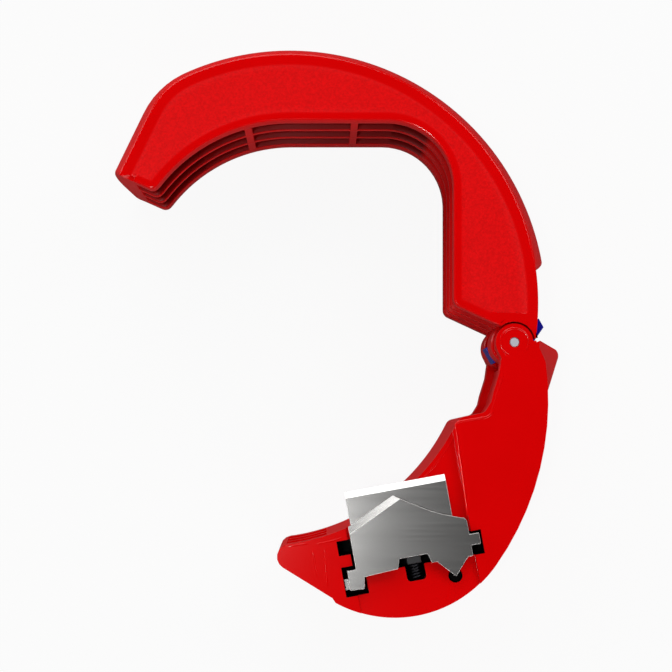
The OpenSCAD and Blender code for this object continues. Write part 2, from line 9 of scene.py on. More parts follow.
import bmesh
import bpy
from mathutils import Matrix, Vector


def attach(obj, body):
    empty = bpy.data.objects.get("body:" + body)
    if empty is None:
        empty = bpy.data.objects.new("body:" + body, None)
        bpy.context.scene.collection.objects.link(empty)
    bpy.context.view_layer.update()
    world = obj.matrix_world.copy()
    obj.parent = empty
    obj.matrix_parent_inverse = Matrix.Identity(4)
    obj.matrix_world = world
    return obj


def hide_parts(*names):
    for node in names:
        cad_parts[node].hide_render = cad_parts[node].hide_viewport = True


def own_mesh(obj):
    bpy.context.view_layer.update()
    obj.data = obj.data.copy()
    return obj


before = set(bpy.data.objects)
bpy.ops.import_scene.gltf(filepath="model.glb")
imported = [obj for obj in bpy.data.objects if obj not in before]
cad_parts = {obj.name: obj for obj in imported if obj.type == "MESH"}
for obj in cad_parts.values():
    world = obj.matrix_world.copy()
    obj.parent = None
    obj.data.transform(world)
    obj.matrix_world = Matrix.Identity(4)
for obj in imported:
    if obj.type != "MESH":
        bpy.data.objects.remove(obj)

logging.basicConfig(level=logging.INFO, format="%(message)s")
log = logging.getLogger("pipe_cutter")

MM = 0.001
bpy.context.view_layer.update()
# Centre of the hinge pin, in mm.
HINGE = (27.6145, -2.25)
# Corners closer than this many mm become one.
MERGE = 0.002
# Spacing of the places along arcs and straight lines, in mm.
ARC_STEP = 0.15
LINE_STEP = 0.25
# A place in the plane, or two numbers that belong together.
Pair = tuple[float, float]
Socket = bpy.types.NodeSocket
Tree = bpy.types.NodeTree


def direction(angle: float) -> Vector:
    """Returns the unit vector in the plane at an angle in degrees."""
    return Vector((math.cos(math.radians(angle)), math.sin(math.radians(angle))))


def angle_of(way: Vector) -> float:
    """Returns the angle of a vector in the plane, in degrees."""
    return math.degrees(math.atan2(way.y, way.x))


def linear(hex_colour: str) -> tuple[float, float, float, float]:
    """Turns an sRGB hex value to linear light.

    Args:
        hex_colour: six hex digits.

    Returns:
        Linear red, green, blue and an alpha of 1.
    """
    parts = [int(hex_colour[i:i + 2], 16) / 255 for i in (0, 2, 4)]
    light = [c / 12.92 if c <= 0.04045 else ((c + 0.055) / 1.055) ** 2.4 for c in parts]
    return (*light, 1.0)


def add_node(tree: Tree, kind: str, inputs: Optional[dict] = None,
             stops: Sequence[tuple[float, str]] = (), **settings) -> bpy.types.Node:
    """Adds one node with its settings, values and links.

    Args:
        tree: the node tree of a material or of the world.
        kind: the node's type name.
        inputs: socket name or index to a value, or to an output socket that is linked in.
        stops: places and hex colours of a colour ramp's two ends.
        settings: the node's own properties.

    Returns:
        The new node.
    """
    node = tree.nodes.new(kind)
    for name, value in settings.items():
        setattr(node, name, value)
    for name, value in (inputs or {}).items():
        if isinstance(value, Socket):
            tree.links.new(value, node.inputs[name])
        else:
            node.inputs[name].default_value = value
    for i, (place, colour) in enumerate(stops):
        node.color_ramp.elements[i].position = place
        node.color_ramp.elements[i].color = linear(colour)
    return node


@dataclass(frozen=True)
class Finish:
    """What every finish shares: the values of the main shader and a fine grain.

    Args:
        name: the material's name.
        colour: its colour as sRGB hex.
        roughness: its roughness.
        metallic: 1 for metal.
        ior: index of refraction, where it isn't metal.
        grain_mm: size of the grain.
        detail: the grain's levels of detail.
        spread: how far the grain takes the roughness below and above its plain value.
        relief: strength of the grain's relief and its height in mm.
    """

    name: str
    colour: str
    roughness: float
    metallic: float = 0.0
    ior: float = 1.5
    grain_mm: float = 1.0
    detail: float = 2.0
    spread: Pair = (0.0, 0.0)
    relief: Pair = (0.0, 0.0)

    def start(self) -> tuple[bpy.types.Material, Tree, bpy.types.Node]:
        """Makes the material with its main shader.

        Returns:
            The material, its node tree and the main shader node.
        """
        material = bpy.data.materials.new(self.name)
        material.use_nodes = True
        shader = material.node_tree.nodes["Principled BSDF"]
        shader.inputs["Base Color"].default_value = linear(self.colour)
        shader.inputs["Roughness"].default_value = self.roughness
        shader.inputs["Metallic"].default_value = self.metallic
        if not self.metallic:
            shader.inputs["IOR"].default_value = self.ior
        material.diffuse_color = linear(self.colour)
        return material, material.node_tree, shader

    def vary(self, tree: Tree, shader: bpy.types.Node, grain: Socket) -> None:
        """Lets the grain vary the gloss and raise the surface a little.

        Args:
            tree: the material's node tree.
            shader: its main shader.
            grain: the grain's socket.
        """
        low, high = self.spread
        strength, height = self.relief
        rough = add_node(tree, "ShaderNodeMapRange", {
            "Value": grain, "To Min": self.roughness + low, "To Max": self.roughness + high})
        tree.links.new(rough.outputs["Result"], shader.inputs["Roughness"])
        bump = add_node(tree, "ShaderNodeBump", {
            "Height": grain, "Strength": strength, "Distance": height * MM})
        tree.links.new(bump.outputs["Normal"], shader.inputs["Normal"])

    def build(self) -> bpy.types.Material:
        """Makes the material with a grain that is the same in all directions.

        Returns:
            The material.
        """
        material, tree, shader = self.start()
        place = add_node(tree, "ShaderNodeTexCoord").outputs["Object"]
        grain = add_node(tree, "ShaderNodeTexNoise", {
            "Vector": place, "Scale": 1 / (self.grain_mm * MM), "Detail": self.detail})
        self.vary(tree, shader, grain.outputs["Fac"])
        return material


@dataclass(frozen=True)
class GlassFilledNylon(Finish):
    """Nylon moulded in a polished tool: glossy faces, matt draw walls, spark-eroded panels.

    The panel attribute mixes the grained panels in, and the pocket attribute a painted shade that
    darkens the deep pockets.

    Args:
        flow_colour: the colour that the melt's flow clouds the faces with.
        speck_colour: the panels' darker colour.
        panel_colour: the panels' lighter colour.
        pocket_shade_colour: the painted shade colour of a deep pocket.
        flow_mm: size of the clouds.
        wall_tilt: share of the normal along Z at which a wall is fully matt.
        wall_roughness: roughness of the draw walls.
        panel_roughness: roughness of the panels.
        face_relief: strength of the relief outside the panels.
        shine: level of the surface's mirror reflection.
    """

    grain_mm: float = 0.34
    detail: float = 3.0
    relief: Pair = (0.16, 0.06)
    flow_colour: str = "CC0001"
    speck_colour: str = "C80103"
    panel_colour: str = "DE0306"
    pocket_shade_colour: str = "520000"
    flow_mm: float = 9.0
    wall_tilt: float = 0.4
    wall_roughness: float = 0.5
    panel_roughness: float = 0.26
    face_relief: float = 0.02
    shine: float = 0.3

    def build(self) -> bpy.types.Material:
        """Makes the material with its three surfaces.

        Returns:
            The material.
        """
        material, tree, shader = self.start()
        shader.inputs["Specular IOR Level"].default_value = self.shine
        place = add_node(tree, "ShaderNodeTexCoord").outputs["Object"]
        panel = add_node(tree, "ShaderNodeAttribute", attribute_name="panel").outputs["Fac"]
        cloud = add_node(tree, "ShaderNodeTexNoise", {
            "Vector": place, "Scale": 1 / (self.flow_mm * MM), "Detail": 2.0})
        shade = add_node(tree, "ShaderNodeValToRGB", {"Fac": cloud.outputs["Fac"]},
                         stops=[(0.3, self.colour), (0.7, self.flow_colour)])
        grain = add_node(tree, "ShaderNodeTexNoise", {
            "Vector": place, "Scale": 1 / (self.grain_mm * MM), "Detail": self.detail,
            "Roughness": 0.6})
        speck = add_node(tree, "ShaderNodeValToRGB", {"Fac": grain.outputs["Fac"]},
                         stops=[(0.35, self.speck_colour), (0.65, self.panel_colour)])
        faces = add_node(tree, "ShaderNodeMix", {
            0: panel, 6: shade.outputs["Color"], 7: speck.outputs["Color"]}, data_type="RGBA")
        # Painted shade: the pocket attribute mixes the colour towards the dark shade colour.
        pocket = add_node(tree, "ShaderNodeAttribute", attribute_name="pocket").outputs["Fac"]
        pocket_shade_mix = add_node(tree, "ShaderNodeMix", {
            0: pocket, 6: faces.outputs[2], 7: linear(self.pocket_shade_colour)}, data_type="RGBA")
        tree.links.new(pocket_shade_mix.outputs[2], shader.inputs["Base Color"])
        normal = add_node(tree, "ShaderNodeTexCoord").outputs["Normal"]
        facing = add_node(tree, "ShaderNodeSeparateXYZ", {"Vector": normal})
        steep = add_node(tree, "ShaderNodeMath", {0: facing.outputs["Z"]}, operation="ABSOLUTE")
        wall = add_node(tree, "ShaderNodeMapRange", {
            "Value": steep.outputs[0], "From Min": self.wall_tilt, "From Max": 1.0,
            "To Min": self.wall_roughness, "To Max": self.roughness})
        rough = add_node(tree, "ShaderNodeMapRange", {
            "Value": panel, "To Min": wall.outputs["Result"], "To Max": self.panel_roughness})
        tree.links.new(rough.outputs["Result"], shader.inputs["Roughness"])
        strength, height = self.relief
        depth = add_node(tree, "ShaderNodeMapRange", {
            "Value": panel, "To Min": self.face_relief, "To Max": strength})
        bump = add_node(tree, "ShaderNodeBump", {
            "Height": grain.outputs["Fac"], "Strength": depth.outputs["Result"],
            "Distance": height * MM})
        tree.links.new(bump.outputs["Normal"], shader.inputs["Normal"])
        return material


@dataclass(frozen=True)
class GroundBladeSteel(Finish):
    """Hardened strip steel, surface ground: parallel lines and a soft, streaked shine.

    The real lines are too fine to show, so they are drawn 0.5 mm wide.

    Args:
        line_angle: the lines' angle in degrees, along the cutting edge.
        stretch: how much slower the pattern changes along the lines.
        dark: the colour of the lines.
        light: the colour between the lines.
    """

    grain_mm: float = 0.5
    detail: float = 1.0
    spread: Pair = (-0.01, 0.01)
    relief: Pair = (0.01, 0.01)
    line_angle: float = 10.3
    stretch: float = 0.03
    dark: str = "BAB9B7"
    light: str = "C3C2C0"

    def build(self) -> bpy.types.Material:
        """Makes the material with its lines.

        Returns:
            The material.
        """
        material, tree, shader = self.start()
        place = add_node(tree, "ShaderNodeTexCoord").outputs["Object"]
        turned = add_node(tree, "ShaderNodeMapping", {
            "Vector": place, "Rotation": (0, 0, -math.radians(self.line_angle)),
            "Scale": (self.stretch, 1.0, 1.0)})
        lines = add_node(tree, "ShaderNodeTexNoise", {
            "Vector": turned.outputs["Vector"], "Scale": 1 / (self.grain_mm * MM),
            "Detail": self.detail})
        shade = add_node(tree, "ShaderNodeValToRGB", {"Fac": lines.outputs["Fac"]},
                         stops=[(0.3, self.dark), (0.7, self.light)])
        tree.links.new(shade.outputs["Color"], shader.inputs["Base Color"])
        self.vary(tree, shader, lines.outputs["Fac"])
        return material


@dataclass(frozen=True)
class PlainMoulded(Finish):
    """Unfilled acetal, moulded: even colour with a faint flow pattern in its gloss."""

    grain_mm: float = 1.5
    spread: Pair = (-0.05, 0.08)
    relief: Pair = (0.08, 0.05)


@dataclass(frozen=True)
class DrawnSteel(Finish):
    """Drawn steel, as wire, a cut pin or a blade's sharpened edge: satin with a little grain."""

    metallic: float = 1.0
    grain_mm: float = 0.3
    detail: float = 3.0
    spread: Pair = (-0.06, 0.1)
    relief: Pair = (0.1, 0.02)


class Looks:
    """All the finishes of the cutter, made once."""

    def __init__(self) -> None:
        """Builds every material."""
        # Glass-filled nylon from a polished tool: a deep, even red with a narrow shine.
        self.red = GlassFilledNylon("glass_filled_nylon_red", "D00002", 0.11, ior=1.46).build()
        # The same nylon, darker and with hardly any shine, for the deep pockets: painted shade.
        self.pocket = GlassFilledNylon("glass_filled_nylon_painted_pocket_shade", "C00001", 0.3,
                                       ior=1.46, shine=0.06).build()
        # Steel at the blades' sharpened edges, paler and rougher than the blade: partly the edges'
        # own finish, partly a painted highlight, a thin pale line that stays light from all sides.
        self.honed_edge_highlight = DrawnSteel("edge_steel_painted_highlight", "F0F0EE", 0.5).build()
        # Surface-ground strip steel: mirrors the room in soft streaks, light to dark.
        self.blade = GroundBladeSteel("ground_blade_steel", "BEBDBB", 0.2, metallic=1.0).build()
        # The cut end of a drawn pin: a satin, slightly blue grey.
        self.pin = DrawnSteel("cut_steel_pin", "D2D3DC", 0.42).build()
        # Drawn spring wire, bright: small, sharp highlights along each coil.
        self.wire = DrawnSteel("drawn_spring_wire", "9A9A9C", 0.32).build()
        # The same wire blackened in oil: nearly black with a weak metal shine.
        self.black_wire = DrawnSteel("blackened_spring_wire", "2A2A2E", 0.3).build()
        # Dyed acetal, moulded: a full blue with a soft shine.
        self.blue = PlainMoulded("blue_acetal", "0000A6", 0.3).build()
        # Black acetal, moulded: a dark grey in the light.
        self.black = PlainMoulded("black_acetal", "121214", 0.4).build()
        # Near-black matt colour on the lower arm's recess faces: painted shade that gives back next
        # to no light.
        self.void = PlainMoulded("black_painted_recess_shade", "040404", 0.7, ior=1.2).build()


class Side(Enum):
    """Which edge of an arm a row of its skin follows."""

    INNER = "inner"
    OUTER = "outer"
    BETWEEN = "between"
    LIP = "lip"
    FLOOR = "floor"


@dataclass
class Path:
    """A line in the plane with places and left-hand normals by arc length.

    Args:
        points: the line's points, close together.
        lengths: each point's arc length from the start.
        normals: each point's left-hand normal.
    """

    points: list[Vector]
    lengths: list[float] = field(init=False)
    normals: list[Vector] = field(init=False)

    def __post_init__(self) -> None:
        """Adds up the lengths and averages the normals at the points."""
        kept = [self.points[0]]
        kept += [b for a, b in zip(self.points, self.points[1:]) if (b - a).length > 1e-4]
        self.points = kept
        self.lengths = [0.0]
        for a, b in zip(kept, kept[1:]):
            self.lengths.append(self.lengths[-1] + (b - a).length)
        ways = [(b - a).normalized() for a, b in zip(kept, kept[1:])]
        means = [ways[0]] + [(a + b).normalized() for a, b in zip(ways, ways[1:])] + [ways[-1]]
        self.normals = [Vector((-w.y, w.x)) for w in means]

    @property
    def length(self) -> float:
        """The whole length."""
        return self.lengths[-1]

    def at(self, s: float) -> tuple[Vector, Vector]:
        """Finds a place on the line.

        Args:
            s: the arc length from the start.

        Returns:
            The point and its left-hand normal.
        """
        s = min(max(s, 0.0), self.length)
        i = min(max(bisect.bisect_right(self.lengths, s) - 1, 0), len(self.points) - 2)
        share = (s - self.lengths[i]) / (self.lengths[i + 1] - self.lengths[i])
        return (self.points[i].lerp(self.points[i + 1], share),
                self.normals[i].lerp(self.normals[i + 1], share).normalized())

    def nearest(self, test: Callable[[Vector], float]) -> float:
        """Returns the arc length of the point where the test value is least."""
        return min(zip(self.lengths, self.points), key=lambda pair: test(pair[1]))[0]

    def crossing(self, x: float, least_y: float) -> float:
        """Finds where the line crosses an X above a given Y.

        Args:
            x: the X that it crosses.
            least_y: the Y that the place lies above.

        Returns:
            The arc length.
        """
        for i, (a, b) in enumerate(zip(self.points, self.points[1:])):
            if min(a.y, b.y) > least_y and a.x <= x < b.x:
                return self.lengths[i] + (x - a.x) / (b.x - a.x) * (b - a).length
        return self.length


def arc(centre: Vector, radius: float, start: float, end: float) -> list[Vector]:
    """Returns points about ARC_STEP apart along an arc given in degrees."""
    count = max(4, int(radius * abs(math.radians(end - start)) / ARC_STEP))
    return [centre + radius * direction(start + (end - start) * i / count)
            for i in range(count + 1)]


def line(start: Vector, end: Vector) -> list[Vector]:
    """Returns points about LINE_STEP apart along a straight line."""
    count = max(1, int((end - start).length / LINE_STEP))
    return [start.lerp(end, i / count) for i in range(count + 1)]


def rounded(before: Vector, corner: Vector, after: Vector, radius: float) -> list[Vector]:
    """Finds the points of a rounded corner.

    Args:
        before: a place on the line that comes in.
        corner: the place where the two lines meet.
        after: a place on the line that goes out.
        radius: the corner's radius.

    Returns:
        Points along the arc, from the line that comes in to the one that goes out.
    """
    u, v = (before - corner).normalized(), (after - corner).normalized()
    half = u.angle(v) / 2
    reach = radius / math.tan(half)
    centre = corner + (u + v).normalized() * radius / math.sin(half)
    a, b = angle_of(corner + u * reach - centre), angle_of(corner + v * reach - centre)
    return arc(centre, radius, a, a + (b - a + 180) % 360 - 180)


def dense(points: Sequence[Vector]) -> list[Vector]:
    """Returns the line through the points with places about LINE_STEP apart."""
    return [v for a, b in zip(points, points[1:]) for v in line(a, b)]


def meet(p: Vector, a: float, q: Vector, b: float) -> Vector:
    """Returns where the line through p at angle a meets the line through q at angle b."""
    u, v, w = direction(a), direction(b), q - p
    return p + u * (w.x * v.y - w.y * v.x) / (u.x * v.y - u.y * v.x)


@dataclass(frozen=True)
class Row:
    """One row of an arm's skin, seen in the cross-section.

    Args:
        side: the edge that it follows.
        offset: distance from that edge into the arm in mm, or the share of the way across.
        z: height above the back face.
        panel: whether it lies in the textured panel.
    """

    side: Side
    offset: float
    z: float
    panel: bool = False


@dataclass
class UpperArm:
    """The round cradle: two plates, two ribs, deep pockets between webs, a crowned outer wall.

    Sizes in mm, angles in degrees, places from the hinge.

    Args:
        looks: the finishes.
        hinge: centre of the hinge pin in the frame.
        thick: whole thickness.
        plate: thickness of the front and the back plate.
        rib: thickness of a rib.
        gap: height of a pocket.
        seat: centre of the round seat.
        seat_r: its radius.
        wall_corner_r: radius between the seat's top and the straight wall.
        crown_c: centre of the outer wall's round part.
        face_r: its radius at the faces.
        bulge: how far the outer wall stands out half-way up.
        flank_d: distance of the left flank from that centre.
        flank_slope: its angle.
        flank_corner_r: radius between the flank and the round part.
        tip_slope: slope of the tip's end.
        tip_lift: distance of the tip's end from the seat's centre.
        tip_r: radius of the tip's inner corner.
        tip_share: share of the tip's end that the inner path covers.
        tip_turn: part of the seat that the tip's corner takes.
        neck_slope: slope of the edge beside the hinge.
        neck_lift: its distance from the pin.
        neck_r: radius between the straight wall and that edge.
        wall_end: height of the arm's lower end above the pin.
        ear_room: radius of the relief round the lower arm's ears.
        groove: depth of the grooves along the straight wall.
        tip_groove: their depth at the tip.
        groove_run: where the depth starts to change before the tip's corner, and the length.
        pocket_r: radius of the deep pockets' floor.
        pocket_rise: height above the seat's centre at which the deep pockets start.
        web: thickness of a web.
        web_shares: places of the webs, in shares of the seat's radius.
        band_end: angle at which the bulge ends, above the hinge.
        panel_depth: how far the panel lies below its rim.
        panel_low: height of the panel's lower end above the pin.
        soft: width of the slope between rim and panel.
        rim_inner: width of the rim along the inner edge.
        rim_outer: width of the rim along the outer edge.
        narrow_share: the rims narrow where this times the arm's width falls below 1.
        hinge_taper: share by which the rims are narrower at the hinge.
        edge: size of the broken edges.
        lip: depth and height of the ribs' lips.
        lip_in: the lips' second corner.
        tip_end_r: length over which the bulge fades out at the tip.
        end_run: length of the tip's end without a panel.
        end_shrinks: how far the first two sections are drawn in.
        inner_step: longest step between sections on the inner path.
        outer_step: longest step between sections on the outer path.
        tip_pair: place on the outer path that belongs to the tip's corner.
        hinge_ys: heights on the outer path that belong to the bend, the panel's end and the relief.
        relief_ys: angles round the pin, with the heights that belong to them.
        knuckle_r: radius of the knuckles.
        knuckle_flat: radius of their flat faces.
        knuckle_edge: height of their broken edges.
        knuckle_bore: radius of their bore.
        ear: thickness of the lower arm's ears.
        dark_share: share of the seat's radius past which the pockets are in full light and get
            little painted shade.
        dark_depth: depth at which a pocket gets the full painted shade.
        wall_shade: painted shade of the grooves that are in full light.
        lip_shade: painted shade of the ribs' lips.
        least_shade: painted shade from which a face gets the pockets' darker material.
        sharp: angle above which an edge stays sharp.
    """

    looks: Looks
    hinge: Vector = field(default_factory=lambda: Vector(HINGE))
    thick: float = 22.0
    plate: float = 2.8
    rib: float = 1.0
    gap: float = 4.8
    seat: Vector = field(default_factory=lambda: Vector((-34.9, 8.9)))
    seat_r: float = 25.5
    wall_corner_r: float = 10.3
    crown_c: Vector = field(default_factory=lambda: Vector((-34.9, 6.1)))
    face_r: float = 38.6
    bulge: float = 2.5
    flank_d: float = 32.35
    flank_slope: float = 64.0
    flank_corner_r: float = 11.5
    tip_slope: float = 24.0
    tip_lift: float = 4.8
    tip_r: float = 1.3
    tip_share: float = 0.6
    tip_turn: float = 2.7
    neck_slope: float = 24.9
    neck_lift: float = 1.4
    neck_r: float = 1.35
    wall_end: float = 0.6
    ear_room: float = 3.2
    groove: float = 1.2
    tip_groove: float = 0.6
    groove_run: Pair = (1.6, 2.2)
    pocket_r: float = 37.6
    pocket_rise: float = 3.0
    web: float = 1.2
    web_shares: tuple[float, ...] = (-0.57, -0.255, 0.4, 0.667)
    band_end: float = 10.0
    panel_depth: float = 0.06
    panel_low: float = 3.4
    soft: float = 0.4
    rim_inner: float = 0.95
    rim_outer: float = 1.5
    narrow_share: float = 0.26
    hinge_taper: float = 0.65
    edge: float = 0.22
    lip: float = 0.18
    lip_in: float = 0.05
    tip_end_r: float = 0.9
    end_run: float = 0.2
    end_shrinks: Pair = (0.45, 0.12)
    inner_step: float = 1.1
    outer_step: float = 1.3
    tip_pair: float = 2.2
    hinge_ys: tuple[float, ...] = (8.2, 4.35, 4.15)
    relief_ys: tuple[Pair, ...] = ((90, 3.5), (60, 2.6))
    knuckle_r: float = 3.3
    knuckle_flat: float = 3.1
    knuckle_edge: float = 0.2
    knuckle_bore: float = 0.85
    ear: float = 3.1
    dark_share: float = 0.86
    dark_depth: float = 0.9
    wall_shade: float = 0.07
    lip_shade: float = 0.75
    least_shade: float = 0.03
    sharp: float = 32.0

    def __post_init__(self) -> None:
        """Works out the two edge paths of the arm."""
        tip_a = 270 - self.tip_slope - math.degrees(math.acos(-self.tip_lift / self.seat_r))
        self.end_normal = direction(90 - self.tip_slope)
        self.tip_c = self.seat + self.seat_r * direction(tip_a)
        flank_normal = self.flank_slope + 90
        flank_p = self.crown_c + self.flank_d * direction(flank_normal)
        tip_out = meet(self.tip_c, -self.tip_slope, flank_p, self.flank_slope)
        start = self.tip_c - self.tip_share * (self.tip_c - tip_out)
        # The 9 mm along the seat's tangent only give the corner its second direction.
        corner = rounded(start, self.tip_c, self.tip_c + 9 * direction(tip_a - 90), self.tip_r)
        wall_x, top_y = self.seat.x + self.seat_r, self.seat.y + self.seat_r
        neck_p = self.neck_lift * direction(90 - self.neck_slope)
        bend = meet(Vector((wall_x, 0)), 90, neck_p, -self.neck_slope)
        relief_a = 90 - self.neck_slope + math.degrees(math.acos(self.neck_lift / self.ear_room))
        relief_b = math.degrees(math.asin(self.wall_end / self.ear_room))
        fillet_c = Vector((wall_x - self.wall_corner_r, top_y - self.wall_corner_r))
        wall_start = fillet_c + Vector((self.wall_corner_r, 0))
        bend_arc = rounded(Vector((wall_x, top_y)), bend, neck_p, self.neck_r)
        self.relief_p = self.ear_room * direction(relief_a)
        self.inner = Path(
            line(start, corner[0]) + corner
            + arc(self.seat, self.seat_r, tip_a - self.tip_turn, 90)
            + line(Vector((self.seat.x, top_y)), Vector((fillet_c.x, top_y)))
            + arc(fillet_c, self.wall_corner_r, 90, 0)
            + line(wall_start, bend_arc[0]) + bend_arc + line(bend_arc[-1], self.relief_p)
            + arc(Vector((0, 0)), self.ear_room, relief_a, relief_b))
        lie = self.flank_d - self.flank_corner_r
        rise = math.sqrt((self.face_r - self.flank_corner_r) ** 2 - lie ** 2)
        fan_c = (self.crown_c + lie * direction(flank_normal)
                 + rise * direction(self.flank_slope))
        fan_a = angle_of(fan_c - self.crown_c)
        low_a = math.degrees(math.asin((self.wall_end - self.crown_c.y) / self.face_r))
        self.outer = Path(
            line(tip_out, fan_c + self.flank_corner_r * direction(flank_normal))
            + arc(fan_c, self.flank_corner_r, flank_normal, fan_a)
            + arc(self.crown_c, self.face_r, fan_a, low_a))
        self.relief_half = (90 + self.neck_slope - (180 - relief_a)) / 2
        self.relief_way = direction(90 - self.neck_slope + self.relief_half)
        self.relief_s = self.inner.nearest(lambda p: (p - self.relief_p).length)
        self.tip_s = self.inner.nearest(lambda p: (p - corner[-1]).length)
        # The 9 keeps the search off the straight wall, which passes the same height.
        self.panel_s = self.inner.nearest(
            lambda p: abs(p.y - self.panel_low) + (9 if p.x < wall_x + 1 else 0))
        self.bend_s = self.inner.nearest(lambda p: (p - bend).length)
        band_p = self.crown_c + self.face_r * direction(self.band_end)
        self.band_u = self.outer.nearest(lambda p: (p - band_p).length)
        self.relief_a = relief_a

    @property
    def pocket_y(self) -> float:
        """The height at which the deep pockets start."""
        return self.seat.y + self.pocket_rise

    def web_edges(self) -> list[tuple[float, float]]:
        """Returns the left and right X of each deep pocket."""
        places = [self.seat.x + share * self.seat_r for share in self.web_shares]
        return [(a + self.web / 2, b - self.web / 2) for a, b in zip(places, places[1:])]

    def anchors(self) -> list[tuple[float, float]]:
        """Pairs places on the inner edge with places on the outer edge.

        Returns:
            Arc lengths on the inner and the outer path, both rising.
        """
        pairs = [(0.0, 0.0), (self.tip_s, self.tip_pair)]
        for x in [v for edges in self.web_edges() for v in edges]:
            pairs.append((self.inner.crossing(x, self.pocket_y),
                          self.outer.crossing(x, self.pocket_y)))
        places = list(zip((self.bend_s, self.panel_s, self.relief_s), self.hinge_ys))
        places += [(self.relief_s + self.ear_room * math.radians(self.relief_a - a), y)
                   for a, y in self.relief_ys]
        for s, y in places:
            # The 99 keeps the search off the left side, which passes the same height.
            pairs.append((s, self.outer.nearest(
                lambda p: abs(p.y - y) + (99 if p.x < 0 else 0))))
        pairs.append((self.inner.length, self.outer.length))
        return pairs

    def stations(self) -> list[tuple[float, float]]:
        """Lays out the cross-sections along the arm.

        Returns:
            Arc lengths on the inner and the outer path of each cross-section.
        """
        pairs = self.anchors()

        def matched(value: float, a: int, b: int) -> float:
            """Finds the place on path b that belongs to a place on path a.

            Args:
                value: the place on path a.
                a: 0 for the inner path, 1 for the outer one.
                b: the other path.

            Returns:
                The place on path b.
            """
            for p, q in zip(pairs, pairs[1:]):
                if value <= q[a] + 1e-9:
                    share = (value - p[a]) / max(q[a] - p[a], 1e-9)
                    return p[b] + share * (q[b] - p[b])
            return pairs[-1][b]

        wanted = [0.0, 0.12, 0.3, 0.6]
        for p, q in zip(pairs, pairs[1:]):
            steps = max(1, round((q[0] - p[0]) / self.inner_step),
                        round((q[1] - p[1]) / self.outer_step))
            wanted += [p[0] + (q[0] - p[0]) * i / steps for i in range(steps + 1)]
        for x in [v for edges in self.web_edges() for v in edges]:
            s = self.inner.crossing(x, self.pocket_y)
            wanted += [s - 0.04, s + 0.04]
        # Closer sections where the skin turns: the two bends, the relief, the bulge's ends and
        # the panel's end.
        wanted += [self.tip_s - 1.7 + 1.9 * i / 8 for i in range(9)]
        wanted += [self.bend_s - 1 + 2 * i / 6 for i in range(7)]
        wanted += [self.relief_s + d
                   for d in (-0.25, 0.0, 0.25, 0.6, 1.2, 2.0, 3.0, 4.2, 5.4, 6.2)]
        wanted += [matched(self.band_u + d, 1, 0)
                   for d in (-1.2, -0.6, 0.0, 0.3, 0.55, 0.75, 0.9, 1.0)]
        wanted += [matched(self.tip_end_r * share, 1, 0)
                   for share in (0.03, 0.1, 0.22, 0.4, 0.65, 1.0)]
        wanted += [self.panel_s + d for d in (-0.35, -0.12, 0.12)]
        kept: list[float] = []
        for s in sorted(min(max(v, 0.0), self.inner.length) for v in wanted):
            if not kept or s - kept[-1] > 0.03:
                kept.append(s)
        return [(s, matched(s, 0, 1)) for s in kept]

    def rows(self) -> list[Row]:
        """Lists the rows of the skin once round the cross-section.

        Returns:
            Rows across the front, down the outer wall, across the back and up the inner wall.
        """
        t, e = self.thick, self.edge
        low = t - self.panel_depth
        front = [Row(Side.INNER, 0.0, t - e), Row(Side.INNER, 0.3 * e, t - 0.3 * e),
                 Row(Side.INNER, e, t), Row(Side.INNER, 1.5 * e, t),
                 Row(Side.INNER, self.rim_inner, t),
                 Row(Side.INNER, self.rim_inner + self.soft, low, True)]
        front += [Row(Side.BETWEEN, i / 6, low, True) for i in range(1, 6)]
        front += [Row(Side.OUTER, self.rim_outer + self.soft, low, True),
                  Row(Side.OUTER, self.rim_outer, t), Row(Side.OUTER, 1.5 * e, t),
                  Row(Side.OUTER, e, t), Row(Side.OUTER, 0.3 * e, t - 0.3 * e),
                  Row(Side.OUTER, 0.0, t - e)]
        wall = [Row(Side.OUTER, 0.0, e + (t - 2 * e) * (1 - i / 12)) for i in range(1, 12)]
        back = [Row(r.side, r.offset, t - r.z, r.panel) for r in reversed(front)]
        inner = []
        lip, turn = self.lip, self.lip_in
        for i in range(3):
            bottom = self.plate + i * (self.gap + self.rib)
            top = bottom + self.gap
            inner += [Row(Side.INNER, 0.0, bottom - lip), Row(Side.LIP, turn, bottom - turn),
                      Row(Side.LIP, lip, bottom), Row(Side.FLOOR, 0.0, bottom),
                      Row(Side.FLOOR, 0.0, top), Row(Side.LIP, lip, top),
                      Row(Side.LIP, turn, top + turn), Row(Side.INNER, 0.0, top + lip)]
        return front + wall + back + inner

    def swell(self, u: float) -> float:
        """Returns how far the outer wall bulges at a place of the outer path."""
        past = max(u - self.band_u, 1 - u / self.tip_end_r, 0.0)
        return self.bulge * math.sqrt(max(0.0, 1 - past * past))

    def floor(self, s: float, point: Vector, normal: Vector) -> Vector:
        """Finds the bottom of the grooves and pockets.

        Args:
            s: arc length on the inner path.
            point: the inner edge there.
            normal: its normal into the arm.

        Returns:
            The point on the groove's or pocket's floor.
        """
        x, slack, flush = point.x, 0.005, point + 0.02 * normal
        if point.y > self.pocket_y:
            pockets = self.web_edges()
            if any(a[1] + slack < x < b[0] - slack for a, b in zip(pockets, pockets[1:])):
                return flush
            if any(left - slack < x < right + slack for left, right in pockets):
                rise = math.sqrt(self.pocket_r ** 2 - (x - self.crown_c.x) ** 2)
                return Vector((x, self.crown_c.y + rise))
        if s < self.end_run or s > self.relief_s - 0.1:
            return flush
        lead, run = self.groove_run
        share = min(max((s - self.tip_s + lead) / run, 0.0), 1.0)
        return point + normal * (self.tip_groove + share * (self.groove - self.tip_groove))

    def inset(self, s: float, depth: float) -> Vector:
        """Moves a place of the inner edge into the arm, up to the bisector at the relief.

        Args:
            s: arc length on the inner path.
            depth: how far to move.

        Returns:
            The moved point.
        """
        p, n = self.inner.at(s)
        moved = p + n * depth
        past = (moved - self.relief_p).dot(Vector((self.relief_way.y, -self.relief_way.x)))
        if abs(s - self.relief_s) < 2 and past * (1 if s < self.relief_s else -1) > 0:
            reach = depth / math.cos(math.radians(self.relief_half))
            return self.relief_p + self.relief_way * reach
        return moved

